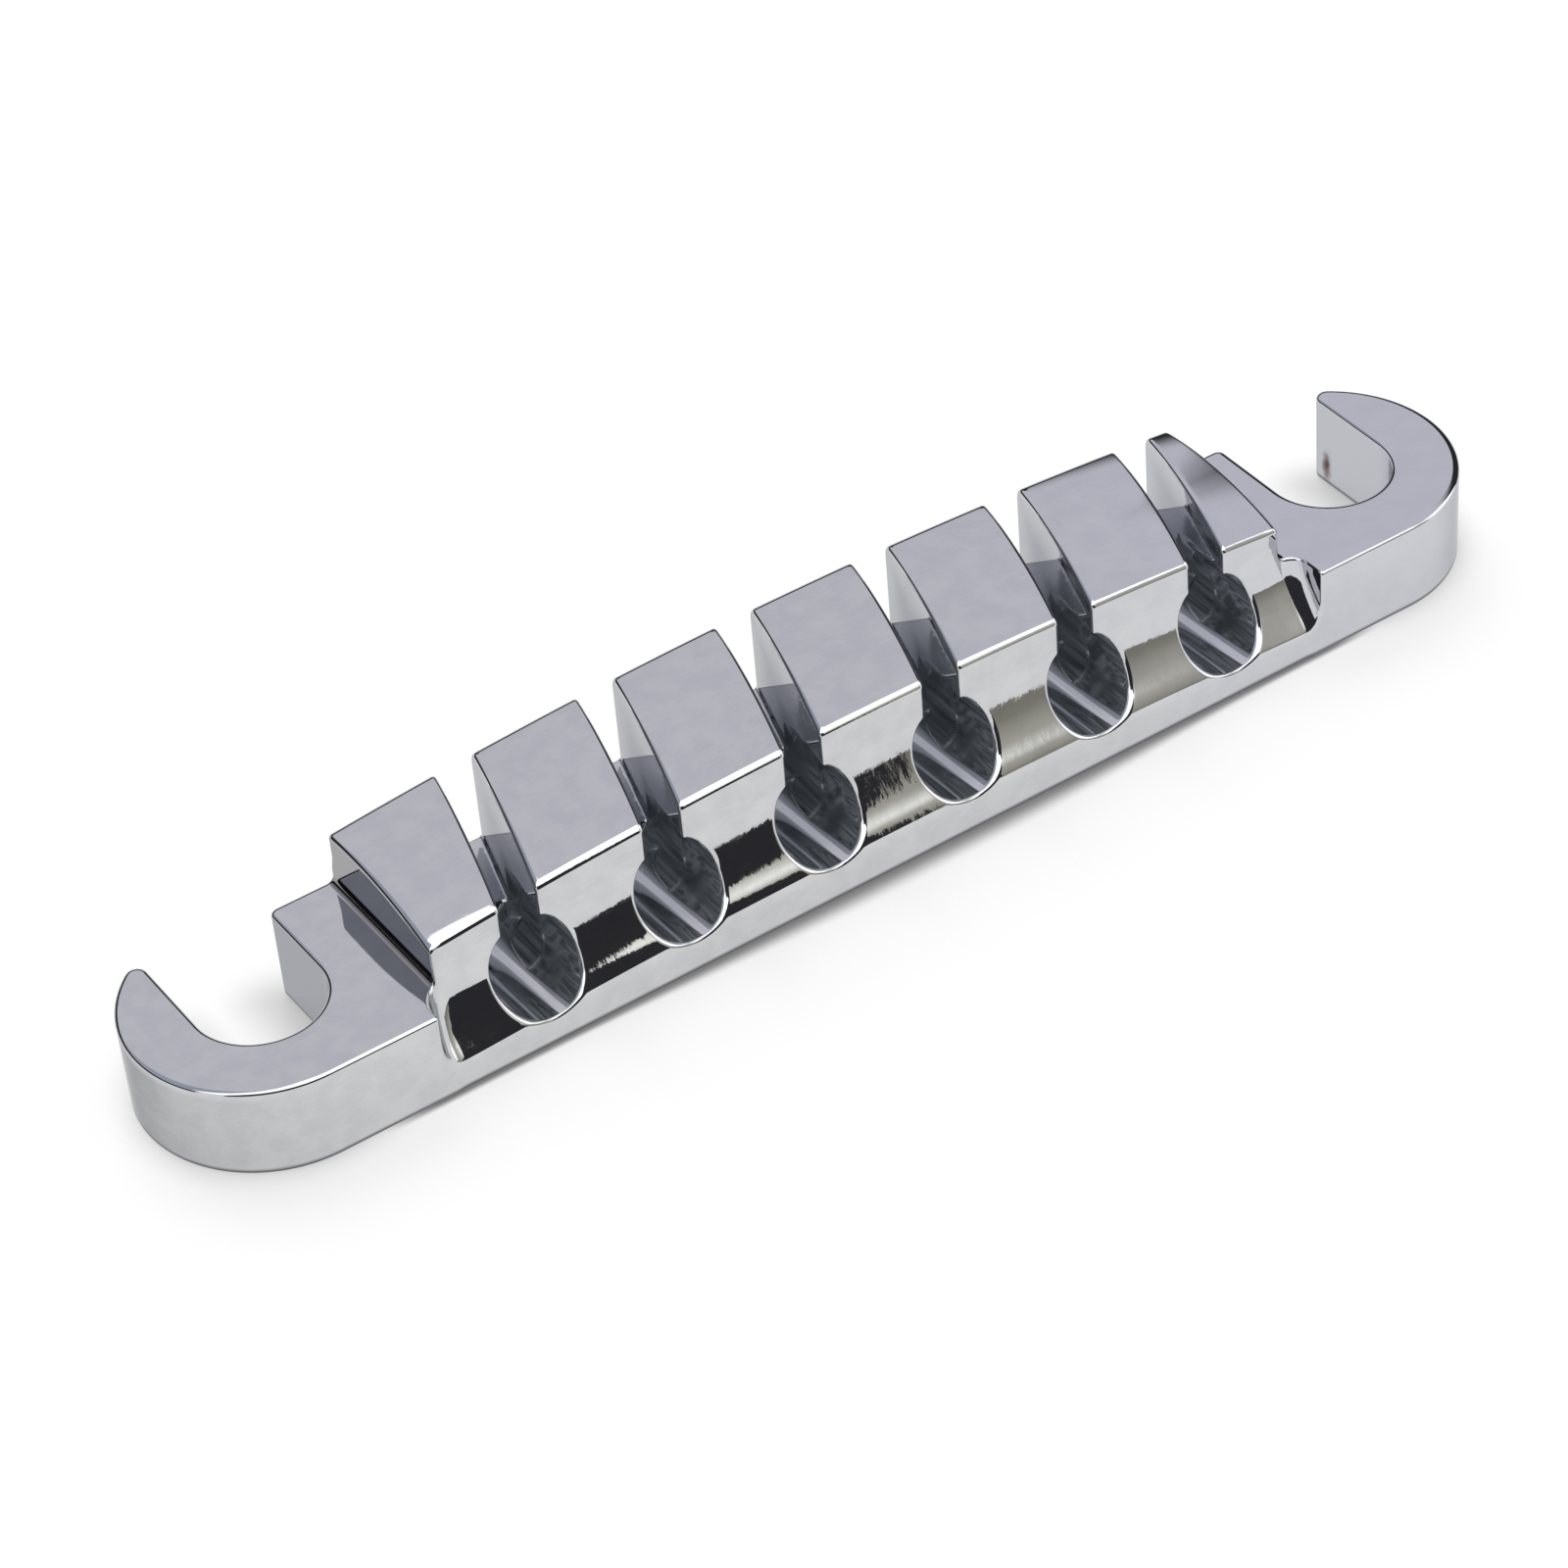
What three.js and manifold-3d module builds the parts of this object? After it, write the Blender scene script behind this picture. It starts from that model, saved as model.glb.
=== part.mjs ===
// Quick-load stop-bar tailpiece of a six-string electric guitar: one plated casting.
// Millimetres, +Z up. X runs along the bar. Y runs from the near side, where the strings are
// loaded, to the far side, which looks at the neck. The sizes are laid out from the near face,
// at y = 0, and the finished casting is moved so that the middle of its base is the origin.

import * as THREE from "three";
import { mergeVertices } from "three/addons/utils/BufferGeometryUtils.js";
import Module from "manifold-3d";

// Plate and hooks
const studSpacing = 82.5;
const studSlotWidth = 8.5;
const hookWall = 4.45;
const hookTipRadius = 0.75;
const plateThickness = 6.7;
const plateDepth = 14.9;
const plateEdgeRadius = 0.45;
const slotMouthRadius = 0.6;

// Strings
const stringCount = 6;
const stringPitch = 10.5;

// Crown: the raised body, arched along the bar as the strings are, and curved across it
const crownHeight = 12.5;
const crownArchRadius = 305;
const crownCurveRadius = 24;
const crownApexSetback = 3.5;
const crownEndBlock = 6.15;
const crownFarEdgeRadius = 0.8;

// String slots: skewed in plan, with a floor that climbs to the far face
const slotWidth = 2.65;
const slotSkewDegrees = 13.5;
const slotCrossingDepth = 1.8;
const slotFloorHeight = 5.7;
const slotFloorDegrees = 12;

// Keyhole bores, which hold the strings' ball ends, a little beside the slots' crossings
const boreRadius = 2.95;
const boreDepth = 9.8;
const boreSideStep = 0.4;
const boreHeight = 5.6;
const boreArchRadius = 560;

// Cove along the near side, from the lip of the crown down to the near face
const coveSetback = 2.85;
const coveRadius = 8.7;
const coveEdgeHeight = 2.9;
const coveArchRadius = 1130;
const coveOverhang = 1.3;
const coveEndRadius = 1;

// How far a cutter runs past the surface that it cuts
const overrun = 1;

// Numbers of facets
const hookFacets = 28;
const cornerFacets = 6;
const edgeFacets = 3;
const crownFacets = 16;
const lengthFacets = 24;
const coveFacets = 18;
const coveEndFacets = 5;
const boreFacets = 32;

// Places worked out from the sizes above
const hookCentreX = studSpacing / 2;
const hookSlotRadius = studSlotWidth / 2;
const hookOuterRadius = hookSlotRadius + hookWall;
const hookTipX = hookSlotRadius + hookTipRadius;
const hookTipY = Math.sqrt((hookOuterRadius - hookTipRadius) ** 2 - hookTipX ** 2);
const overallDepth = hookOuterRadius + hookTipY + hookTipRadius;
const outerStringX = (stringPitch * (stringCount - 1)) / 2;
const crownHalfLength = outerStringX + crownEndBlock;
const coveHalfLength = crownHalfLength + coveOverhang;
const cutterTop = crownHeight + overrun;

const wasm = await Module();
wasm.setup();

function toSolid(geometry) {
  const bare = geometry.clone();
  bare.deleteAttribute("normal");
  bare.deleteAttribute("uv");
  const merged = mergeVertices(bare);
  const vertProperties = new Float32Array(merged.attributes.position.array);
  const triVerts = new Uint32Array(merged.index.array);
  return new wasm.Manifold(new wasm.Mesh({ numProp: 3, vertProperties, triVerts }));
}

function toGeometry(solid) {
  const mesh = solid.getMesh();
  const geometry = new THREE.BufferGeometry();
  geometry.setAttribute("position", new THREE.BufferAttribute(mesh.vertProperties, mesh.numProp));
  geometry.setIndex(new THREE.BufferAttribute(mesh.triVerts, 1));
  geometry.computeVertexNormals();
  return geometry;
}

// How far a line arched along the bar has dropped at a place x
function archDrop(x, radius) {
  return radius - Math.sqrt(radius ** 2 - x ** 2);
}

// Points of an arc, from one angle to another, clockwise where the second is the smaller
function arcPoints(centreX, centreY, radius, from, to, facets) {
  return Array.from({ length: facets + 1 }, (_, i) => {
    const angle = from + ((to - from) * i) / facets;
    return new THREE.Vector2(centreX + radius * Math.cos(angle), centreY + radius * Math.sin(angle));
  });
}

// Moves each corner of a geometry to where place(x, y, z) puts it
function reshape(geometry, place) {
  const position = geometry.attributes.position;
  for (let i = 0; i < position.count; i += 1) {
    position.setXYZ(i, ...place(position.getX(i), position.getY(i), position.getZ(i)));
  }
  return geometry;
}

// Extrudes a side view along X, from -halfWidth to +halfWidth. Its points are given as (Y, Z).
function extrudeSideView(points, halfWidth, steps) {
  const options = { depth: halfWidth * 2, steps, bevelEnabled: false };
  const geometry = new THREE.ExtrudeGeometry(new THREE.Shape(points), options);
  return reshape(geometry, (x, y, z) => [z - halfWidth, x, y]);
}

// Points of the hook at -X in plan, from the near face round its tip and its slot to the far face
function hookOutline() {
  const tipAngle = Math.PI - Math.atan2(hookTipY, hookTipX);
  const mouthX = hookSlotRadius + slotMouthRadius;
  const mouthY = plateDepth - slotMouthRadius;
  const centreX = -hookCentreX;
  const tipX = centreX - hookTipX;
  const tipY = hookOuterRadius + hookTipY;
  const sideFacets = hookFacets / 2;
  const quarter = Math.PI / 2;
  const half = Math.PI;
  return [
    ...arcPoints(centreX, hookOuterRadius, hookOuterRadius, half + quarter, half, sideFacets),
    ...arcPoints(centreX, hookOuterRadius, hookOuterRadius, half, tipAngle, sideFacets).slice(1),
    ...arcPoints(tipX, tipY, hookTipRadius, tipAngle, quarter, cornerFacets / 2).slice(1),
    ...arcPoints(tipX, tipY, hookTipRadius, quarter, 0, cornerFacets).slice(1),
    ...arcPoints(centreX, hookOuterRadius, hookSlotRadius, half, half * 2, hookFacets),
    ...arcPoints(centreX + mouthX, mouthY, slotMouthRadius, half, quarter, cornerFacets),
  ];
}

// Flat plate with a hook at each end and rounded edges above and below
function plate() {
  const left = hookOutline();
  const right = left.map((point) => new THREE.Vector2(-point.x, point.y)).reverse();
  const geometry = new THREE.ExtrudeGeometry(new THREE.Shape([...left, ...right]), {
    depth: plateThickness - plateEdgeRadius * 2,
    bevelThickness: plateEdgeRadius,
    bevelSize: plateEdgeRadius,
    bevelOffset: -plateEdgeRadius,
    bevelSegments: edgeFacets,
  });
  return toSolid(geometry.translate(0, 0, plateEdgeRadius));
}

// The raised body as it is before the cove and the slots are cut
function crown() {
  const apexY = plateDepth - crownApexSetback;
  const centreZ = crownHeight - crownCurveRadius;
  const edgeY = plateDepth - crownFarEdgeRadius;
  const edgeReach = crownCurveRadius - crownFarEdgeRadius;
  const edgeRise = Math.sqrt(edgeReach ** 2 - (edgeY - apexY) ** 2);
  const edgeAngle = Math.atan2(edgeRise, edgeY - apexY);
  const nearAngle = Math.PI / 2 + Math.asin(apexY / crownCurveRadius);
  const side = [
    new THREE.Vector2(0, plateThickness / 2),
    new THREE.Vector2(plateDepth, plateThickness / 2),
    ...arcPoints(edgeY, centreZ + edgeRise, crownFarEdgeRadius, 0, edgeAngle, cornerFacets),
    ...arcPoints(apexY, centreZ, crownCurveRadius, edgeAngle, nearAngle, crownFacets).slice(1),
  ];
  const body = extrudeSideView(side, crownHalfLength, lengthFacets);
  return toSolid(reshape(body, (x, y, z) => [x, y, z - archDrop(x, crownArchRadius)]));
}

// Cutter of the cove: an arc swept along the bar, drawn in to the arc's centre where its ends are rounded
function coveCutter() {
  const centreY = coveSetback - coveRadius;
  const centreZ = coveEdgeHeight + Math.sqrt(coveRadius ** 2 - centreY ** 2);
  const startAngle = -Math.acos(-centreY / coveRadius) - overrun / coveRadius;
  const side = [
    new THREE.Vector2(coveSetback, cutterTop),
    new THREE.Vector2(-overrun, cutterTop),
    ...arcPoints(centreY, centreZ, coveRadius, startAngle, 0, coveFacets),
  ];
  const steps = lengthFacets + 2 * coveEndFacets;
  const straightHalf = coveHalfLength - coveEndRadius;
  const sweep = extrudeSideView(side, steps / 2, steps);
  const cutter = reshape(sweep, (step, y, z) => {
    const stepsPastStraight = Math.max(Math.abs(step) - lengthFacets / 2, 0);
    const turn = ((stepsPastStraight / coveEndFacets) * Math.PI) / 2;
    const straightShare = Math.min(Math.abs(step) / (lengthFacets / 2), 1);
    const x = Math.sign(step) * (straightHalf * straightShare + coveEndRadius * Math.sin(turn));
    const inset = coveEndRadius * (1 - Math.cos(turn));
    const drop = archDrop(x, coveArchRadius);
    if (y < -overrun / 2 && z > centreZ) return [x, y, z - drop];
    if (z > centreZ) return [x, y - inset, z - drop];
    const shrink = (coveRadius - inset) / coveRadius;
    return [x, centreY + (y - centreY) * shrink, centreZ + (z - centreZ) * shrink - drop];
  });
  return toSolid(cutter);
}

// How high a string's bore lies
function boreZ(stringX) {
  return boreHeight - archDrop(stringX, boreArchRadius);
}

// Cutter of one string slot, over a string's place in the near face. Its floor drops behind the bore.
function slotCutter(stringX) {
  const farZ = slotFloorHeight - archDrop(stringX, crownArchRadius);
  const climb = Math.tan(THREE.MathUtils.degToRad(slotFloorDegrees));
  const skew = Math.tan(THREE.MathUtils.degToRad(slotSkewDegrees));
  const floorStartY = boreDepth - overrun;
  const endY = plateDepth + overrun;
  const side = [
    new THREE.Vector2(-overrun, boreZ(stringX)),
    new THREE.Vector2(floorStartY, boreZ(stringX)),
    new THREE.Vector2(floorStartY, farZ - climb * (plateDepth - floorStartY)),
    new THREE.Vector2(endY, farZ + climb * overrun),
    new THREE.Vector2(endY, cutterTop),
    new THREE.Vector2(-overrun, cutterTop),
  ];
  const cutter = extrudeSideView(side, slotWidth / 2, 1);
  return toSolid(reshape(cutter, (x, y, z) => [stringX + x + (y - slotCrossingDepth) * skew, y, z]));
}

// Cutter of one keyhole bore
function boreCutter(stringX) {
  const length = boreDepth + overrun;
  const cutter = new THREE.CylinderGeometry(boreRadius, boreRadius, length, boreFacets);
  return toSolid(cutter.translate(stringX + boreSideStep, boreDepth - length / 2, boreZ(stringX)));
}

function tailpieceCasting() {
  let solid = plate().add(crown()).subtract(coveCutter());
  for (let string = 0; string < stringCount; string += 1) {
    const stringX = string * stringPitch - outerStringX;
    solid = solid.subtract(slotCutter(stringX)).subtract(boreCutter(stringX));
  }
  const chrome = new THREE.MeshStandardMaterial({ color: 0xc4c5cb, roughness: 0.1, metalness: 1 });
  const mesh = new THREE.Mesh(toGeometry(solid).translate(0, -overallDepth / 2, 0), chrome);
  mesh.name = "tailpiece_casting";
  return mesh;
}

const group = new THREE.Group();
group.add(tailpieceCasting());

export default group;
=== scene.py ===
"""Chrome stop-bar tailpiece, lying on a white table under soft light."""

import math

import bmesh
import bpy
import numpy as np
from mathutils import Matrix, Vector


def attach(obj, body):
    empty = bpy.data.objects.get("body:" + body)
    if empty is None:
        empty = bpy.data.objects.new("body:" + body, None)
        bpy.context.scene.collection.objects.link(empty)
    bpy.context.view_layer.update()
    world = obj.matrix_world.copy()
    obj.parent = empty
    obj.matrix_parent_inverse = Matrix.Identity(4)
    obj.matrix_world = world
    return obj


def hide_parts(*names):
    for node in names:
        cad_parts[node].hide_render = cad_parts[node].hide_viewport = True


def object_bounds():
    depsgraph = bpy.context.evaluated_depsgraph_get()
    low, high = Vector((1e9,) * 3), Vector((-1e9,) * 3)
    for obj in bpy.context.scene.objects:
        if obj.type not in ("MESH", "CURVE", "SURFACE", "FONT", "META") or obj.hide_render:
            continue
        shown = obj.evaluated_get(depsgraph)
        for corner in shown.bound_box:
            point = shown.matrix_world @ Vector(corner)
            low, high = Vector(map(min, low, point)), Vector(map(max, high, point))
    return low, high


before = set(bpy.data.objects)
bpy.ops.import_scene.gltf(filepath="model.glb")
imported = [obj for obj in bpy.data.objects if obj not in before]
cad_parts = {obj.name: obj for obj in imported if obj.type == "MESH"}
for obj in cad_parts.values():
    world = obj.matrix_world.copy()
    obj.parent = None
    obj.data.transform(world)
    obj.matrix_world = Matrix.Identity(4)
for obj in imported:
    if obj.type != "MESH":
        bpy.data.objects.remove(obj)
cad_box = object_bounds()

# One millimetre, in metres
MM = 0.001

# Sizes of the casting, in millimetres. Y is counted from the near face until the mesh is made.
HOOK_CENTRE_X = 41.25
STUD_SLOT_RADIUS = 4.25
HOOK_OUTER_RADIUS = 8.7
HOOK_TIP_RADIUS = 0.75
SLOT_MOUTH_RADIUS = 0.6
PLATE_THICKNESS = 6.7
PLATE_DEPTH = 14.9
PLATE_EDGE = 0.3
PLATE_EDGE_ACROSS = 0.5

CROWN_HEIGHT = 12.5
CROWN_ARCH = 305
CROWN_CURVE = 24
CROWN_APEX_Y = 11.4
CROWN_HALF_LENGTH = 32.4
CROWN_FAR_EDGE = 0.8
CROWN_END_EDGE = 0.36
CROWN_FOOT = 0.45
# Height over the plate where its edge begins to turn into the crown's far edge, and over how much
FAR_EDGE_BEGINS = 0.8
FAR_EDGE_BLEND = 1.5

# The cove's section is given by its slopes at shares of its height, in its middle and at its ends.
COVE_SETBACK = 2.85
COVE_FOOT_HEIGHT = 2.3
COVE_TOP_HEIGHT = 8.35
COVE_ARCH = 1130
COVE_SHARES = np.array((0.0, 0.09, 0.144, 0.198, 0.256, 0.43, 0.595, 0.83, 1.0))
COVE_MIDDLE_SLOPES = np.array((0.0, 0.38, 0.55, 0.74, 0.92, 0.66, 0.48, 0.4, 0.0))
COVE_END_SLOPES = np.array((0.0, 0.7, 0.78, 0.78, 0.72, 0.62, 0.36, 0.12, 0.06))
COVE_END_SECTION_X = 31.3
COVE_HALF_LENGTH = 33.7
COVE_END_RADIUS = 1.3
COVE_TOP_END_RADIUS = 2.1
COVE_TOP_END_BEGINS = 3
COVE_TOP_END_BLEND = 3
COVE_FOOT_EDGE = 0.22
# The lip's edge is rounder than the foot's, and turns into it downwards and at the crown's ends.
LIP_EDGE = 0.3
LIP_EDGE_ACROSS = 0.46
LIP_EDGE_BEGINS = 3.5
LIP_EDGE_BLEND = 2
LIP_END_BLEND = 1.2

STRING_COUNT = 6
STRING_PITCH = 10.5
LAST_STRING_X = STRING_PITCH * (STRING_COUNT - 1) / 2
SLOT_HALF_WIDTH = 1.325
SLOT_SKEW = math.radians(13.5)
SLOT_CROSSING_Y = 1.8
SLOT_FLOOR_HEIGHT = 5.7
SLOT_FLOOR_CLIMB = math.radians(12)
SLOT_CORNER = 0.25
SLOT_EDGE = 0.3

BORE_RADIUS = 2.95
BORE_DEPTH = 9.8
BORE_SIDE_STEP = 0.4
BORE_HEIGHT = 5.6
BORE_ARCH = 560
BORE_CORNER = 0.3
BORE_RIM = 0.32
SHOULDER_EDGE = 0.2
# The slot's floor drops to the bore's axis this far before the bore's end.
FLOOR_DROP_BEFORE_END = 1

HOOK_TIP_X = STUD_SLOT_RADIUS + HOOK_TIP_RADIUS
HOOK_TIP_Y = math.sqrt((HOOK_OUTER_RADIUS - HOOK_TIP_RADIUS) ** 2 - HOOK_TIP_X**2)
OVERALL_DEPTH = HOOK_OUTER_RADIUS + HOOK_TIP_Y + HOOK_TIP_RADIUS

# How the mesh is made: cells of SKIN_STEP, then smaller ones where edges longer than the first
# number of a pair bend by more than its second, in degrees
SKIN_STEP = 0.29
SKIN_MARGIN = 1.0
SKIN_HALF_LENGTH = 51.0
SLOPE_REACH = 0.01
LEAST_SLOPE_SQUARED = 0.25
LEAST_LINE_SLOPE_SQUARED = 0.2
EDGE_LINE_COUNT = 11
LONGEST_SLIDE = SKIN_STEP * 0.75
FLAT_CELL_BEND = 1e-5
REFINEMENTS = ((0.14, 12), (0.09, 12), (0.06, 14), (0.05, 16))
FLAT_FACE_ANGLE = math.radians(0.03)

# Colours of the plating, and of the shade and shadow painted on it
BRIGHT, BRIGHTER, BLUISH = (0.575, 0.58, 0.595), (0.622, 0.625, 0.632), (0.605, 0.612, 0.665)
# Painted shade on the left hook's outer wall
LEFT_WALL_PAINTED_SHADE = (0.34, 0.343, 0.352)
LEFT_STUD_WALL, RIGHT_STUD_WALL = (0.42, 0.425, 0.45), (0.52, 0.525, 0.565)
THIN_PLATING, DEEP_PLATING = (0.4, 0.415, 0.44), (0.2, 0.212, 0.215)
# Painted shade on the crown's end faces and in the crease at its foot
CROWN_END_PAINTED_SHADE, CROWN_FOOT_PAINTED_SHADE = (0.4, 0.395, 0.4), (0.19, 0.175, 0.175)
# A painted contact shadow along the bottom edge, and a stain
PAINTED_BASE_SHADOW, STAIN = (0.07, 0.07, 0.075), (0.1, 0.055, 0.04)
GRAZING_TINT = (0.68, 0.68, 0.7)
LIGHT_LOST_IN_HOLLOWS = (0.255, 0.273, 0.285)

# Where the plating changes and where shade is painted on it, in metres
BLUISH_X, STUD_WALLS_X = (0.0, 0.045), (-0.01, 0.01)
PAINTED_SHADE_LEFT_X, PAINTED_SHADE_LEFT_Y, PAINTED_SHADE_LEFT_Z = (-0.047, -0.037), (-0.008, 0.003), (0.0058, 0.0065)
PAINTED_BASE_SHADOW_Z = (0.0002, 0.00055)
STAIN_PLACE, STAIN_SIZE = (0.0455, 0.0062, 0.0016), (0.0005, 0.0005, 0.0014)
CRINKLE_X, CRINKLE_REACH = 0.0112, (0.0015, 0.003)

# Depths in the slots and bores between which it changes, in millimetres
HOLLOW_DEPTHS, THIN_DEPTHS, DEEP_DEPTHS = (0.3, 1.2), (0.3, 3.6), (3.4, 5.2)

HAIRLINE_ROUGHNESS = (0.02, 0.07)
THIN_ROUGHNESS = 0.05
DEEP_ROUGHNESS = 0.3
PAPER_ROUGHNESS = 0.9

# Heights of the plating's bumps, in units of BUMP_UNIT, which is in metres
BUMP_UNIT = 0.000001
RIPPLE_HEIGHT = 6.5
CRINKLE_HEIGHT = 2.2
WAVE_HEIGHT = 0.6

# Colours of the studio
BLACK, WHITE = (0, 0, 0), (1, 1, 1)
PAPER = (0.8, 0.8, 0.8)
PAPER_IN_CHROME, PAPER_TO_CAMERA = (0.22, 0.22, 0.218), (0.3, 0.3, 0.298)
PAPER_GLOW_IN_CHROME, PAPER_GLOW_TO_CAMERA = 0.8, 0.735
DARK, LILAC, BLUE = (0.034, 0.034, 0.039), (0.73, 0.73, 0.8), (0.42, 0.46, 0.56)
TAN, PALE, GLARE = (0.26, 0.25, 0.21), (0.52, 0.51, 0.45), (1.45, 1.44, 1.38)
SOFT_BOX, SIDE_BOX, TABLE_END = (1.8,) * 3, (1.7,) * 3, (0.03,) * 3

# The table, in metres, and its part with the contact shadow, in millimetres
TABLE_HALF_SIZE = 4
TABLE_Z = -0.00001
CONTACT_HALF_LENGTH = 60
CONTACT_HALF_DEPTH = 14
CONTACT_STEP_X = 0.4
CONTACT_STEP_Y = 0.2
CONTACT_LINE_DARKNESS = 0.84
CONTACT_LINE_WIDTH = 0.4
CONTACT_LINE_SWELL = 1.3
CONTACT_LINE_MIDDLE = 3
CONTACT_LINE_REACH = 26
CONTACT_LINE_FULL_SHARE = 0.15
CONTACT_LINE_END = 40
CONTACT_LINE_END_BLEND = 6
CONTACT_PATCH_DARKNESS = 0.45
CONTACT_PATCH_WIDTH = 5
CONTACT_PATCH_RADIUS = 11
CONTACT_PATCH_BLEND = 5

# The lamp, in metres and watts, and how much of what the world shows lights the scene
LAMP_PLACE = (0.15, 0.75, 1.0)
LAMP_SIZE = 0.8
LAMP_POWER = 9
WORLD_LIGHT = 0.55

# The camera, as solved from the photograph. It turns towards -X and looks down.
CAMERA_LENS = 117.362
CAMERA_TURN = math.radians(-31.126)
CAMERA_RISE = math.radians(40.275)
CAMERA_ROLL = math.radians(-5.135)
CAMERA_PLACE = (-0.131354, -0.21157, 0.213023)


def ease(t):
    """A smooth step from 0 to 1."""
    t = np.clip(t, 0, 1)
    return t * t * (3 - 2 * t)


def arch_drop(x, radius):
    """How far a line arched along the bar has dropped at x."""
    return radius - np.sqrt(radius**2 - x**2)


def round_edge(a, b, radius):
    """What lies inside both faces, with the edge where they meet rounded."""
    corner = np.hypot(np.maximum(a + radius, 0), np.maximum(b + radius, 0))
    return np.minimum(np.maximum(a, b), -radius) + corner


def polish_edge(top, side, down, across):
    """An edge that buffing has worn further across the top than down the side."""
    u, v = np.maximum(side / across + 1, 0), np.maximum(top / down + 1, 0)
    reach = np.hypot(u, v)
    scale = (across * u**2 + down * v**2) / np.maximum(reach**2, 1e-9)
    return np.where(reach > 1e-3, (reach - 1) * scale, np.maximum(top, side))


def round_corner(a, b, radius):
    """What lies inside either face, with the inner corner where they meet filled to a radius."""
    corner = np.hypot(np.maximum(radius - a, 0), np.maximum(radius - b, 0))
    return np.maximum(np.minimum(a, b), radius) - corner


def from_stud_slot(x, y):
    """How far a place in plan is from the nearer hook's slot, below zero inside it."""
    side, rise = np.abs(x) - HOOK_CENTRE_X, y - HOOK_OUTER_RADIUS
    return np.where(rise > 0, np.abs(side), np.hypot(side, rise)) - STUD_SLOT_RADIUS


def plan_distance(x, y):
    """Outline of the plate and its two hooks, seen from above."""
    side, rise = np.abs(x) - HOOK_CENTRE_X, y - HOOK_OUTER_RADIUS
    in_slot = -from_stud_slot(x, y)
    tip_side, tip_rise = side - HOOK_TIP_X, rise - HOOK_TIP_Y
    past_tip = (tip_rise > 0) & (tip_rise * HOOK_TIP_X > tip_side * HOOK_TIP_Y)
    ring = np.maximum(np.hypot(side, rise) - HOOK_OUTER_RADIUS, in_slot) + HOOK_TIP_RADIUS
    arm = np.where(past_tip, np.hypot(tip_side, tip_rise), ring) - HOOK_TIP_RADIUS
    bar = np.maximum(-y, round_edge(y - PLATE_DEPTH, in_slot, SLOT_MOUTH_RADIUS))
    return np.where(side > 0, arm, bar)


def body_distance(x, y, z, lines=None):
    """Plate and crown, before the cove, slots and keyholes are cut.

    A list given as lines gets values that are zero where a rounded edge begins.
    """
    level = z + arch_drop(x, CROWN_ARCH) - CROWN_HEIGHT + CROWN_CURVE
    over_crown = np.hypot(y - CROWN_APEX_Y, level) - CROWN_CURVE
    past_end = np.abs(x) - CROWN_HALF_LENGTH
    crown = round_edge(over_crown, past_end, CROWN_END_EDGE)
    upper = round_corner(z - PLATE_THICKNESS, crown, CROWN_FOOT)
    share = ease((z - PLATE_THICKNESS - FAR_EDGE_BEGINS) / FAR_EDGE_BLEND)
    down = PLATE_EDGE + (CROWN_FAR_EDGE - PLATE_EDGE) * share
    across = PLATE_EDGE_ACROSS + (CROWN_FAR_EDGE - PLATE_EDGE_ACROSS) * share
    plan = plan_distance(x, y)
    outline = polish_edge(upper, plan, down, across)
    if lines is not None:
        lines += [plan + across, upper + down]
        lines += [past_end + CROWN_END_EDGE, over_crown + CROWN_END_EDGE]
        lines += [crown - CROWN_FOOT, outline + PLATE_EDGE, z - PLATE_EDGE]
    return round_edge(outline, -z, PLATE_EDGE)


def cove_share_below(share, slopes):
    """How much of the cove's depth is gained above a share of its height, and how steeply."""
    areas = np.diff(COVE_SHARES) * (slopes[1:] + slopes[:-1]) / 2
    above = np.append(np.cumsum(areas[::-1])[::-1], 0)
    slope = np.interp(share, COVE_SHARES, slopes)
    knot = np.clip(np.searchsorted(COVE_SHARES, share), 1, len(COVE_SHARES) - 1)
    gained = above[knot] + (COVE_SHARES[knot] - share) * (slopes[knot] + slope) / 2
    return gained / above[0], slope / above[0]


def cove_distance(x, y, z):
    """The long hollow along the near side, from its lip down to the near face."""
    height = COVE_TOP_HEIGHT - COVE_FOOT_HEIGHT
    share = np.clip((z + arch_drop(x, COVE_ARCH) - COVE_FOOT_HEIGHT) / height, 0, 1)
    gained, slope = cove_share_below(share, COVE_MIDDLE_SLOPES)
    end_gained, end_slope = cove_share_below(share, COVE_END_SLOPES)
    mix = np.minimum((x / COVE_END_SECTION_X) ** 4, 1)
    gained += (end_gained - gained) * mix
    slope += (end_slope - slope) * mix
    slope *= COVE_SETBACK / height
    hollow = (y - COVE_SETBACK * (1 - gained)) / np.sqrt(1 + slope**2)
    left_top = ease((z - COVE_TOP_END_BEGINS) / COVE_TOP_END_BLEND) * (x < 0)
    radius = COVE_END_RADIUS + (COVE_TOP_END_RADIUS - COVE_END_RADIUS) * left_top
    return round_edge(hollow, np.abs(x) - COVE_HALF_LENGTH, radius)


def nearest_string(x):
    """Place along the bar of the string nearest to x."""
    number = np.round((x + LAST_STRING_X) / STRING_PITCH)
    return np.clip(number, 0, STRING_COUNT - 1) * STRING_PITCH - LAST_STRING_X


def slot_distance(x, y, z):
    """The string slot nearest to a point."""
    square = x - (y - SLOT_CROSSING_Y) * math.tan(SLOT_SKEW)
    string = nearest_string(square)
    walls = (np.abs(square - string) - SLOT_HALF_WIDTH) * math.cos(SLOT_SKEW)
    far_z = SLOT_FLOOR_HEIGHT - arch_drop(string, CROWN_ARCH)
    climb = far_z - (PLATE_DEPTH - y) * math.tan(SLOT_FLOOR_CLIMB)
    axis_z = BORE_HEIGHT - arch_drop(string, BORE_ARCH)
    floor_z = np.where(y < BORE_DEPTH - FLOOR_DROP_BEFORE_END, axis_z, climb)
    return round_edge(walls, (floor_z - z) * math.cos(SLOT_FLOOR_CLIMB), SLOT_CORNER)


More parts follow.
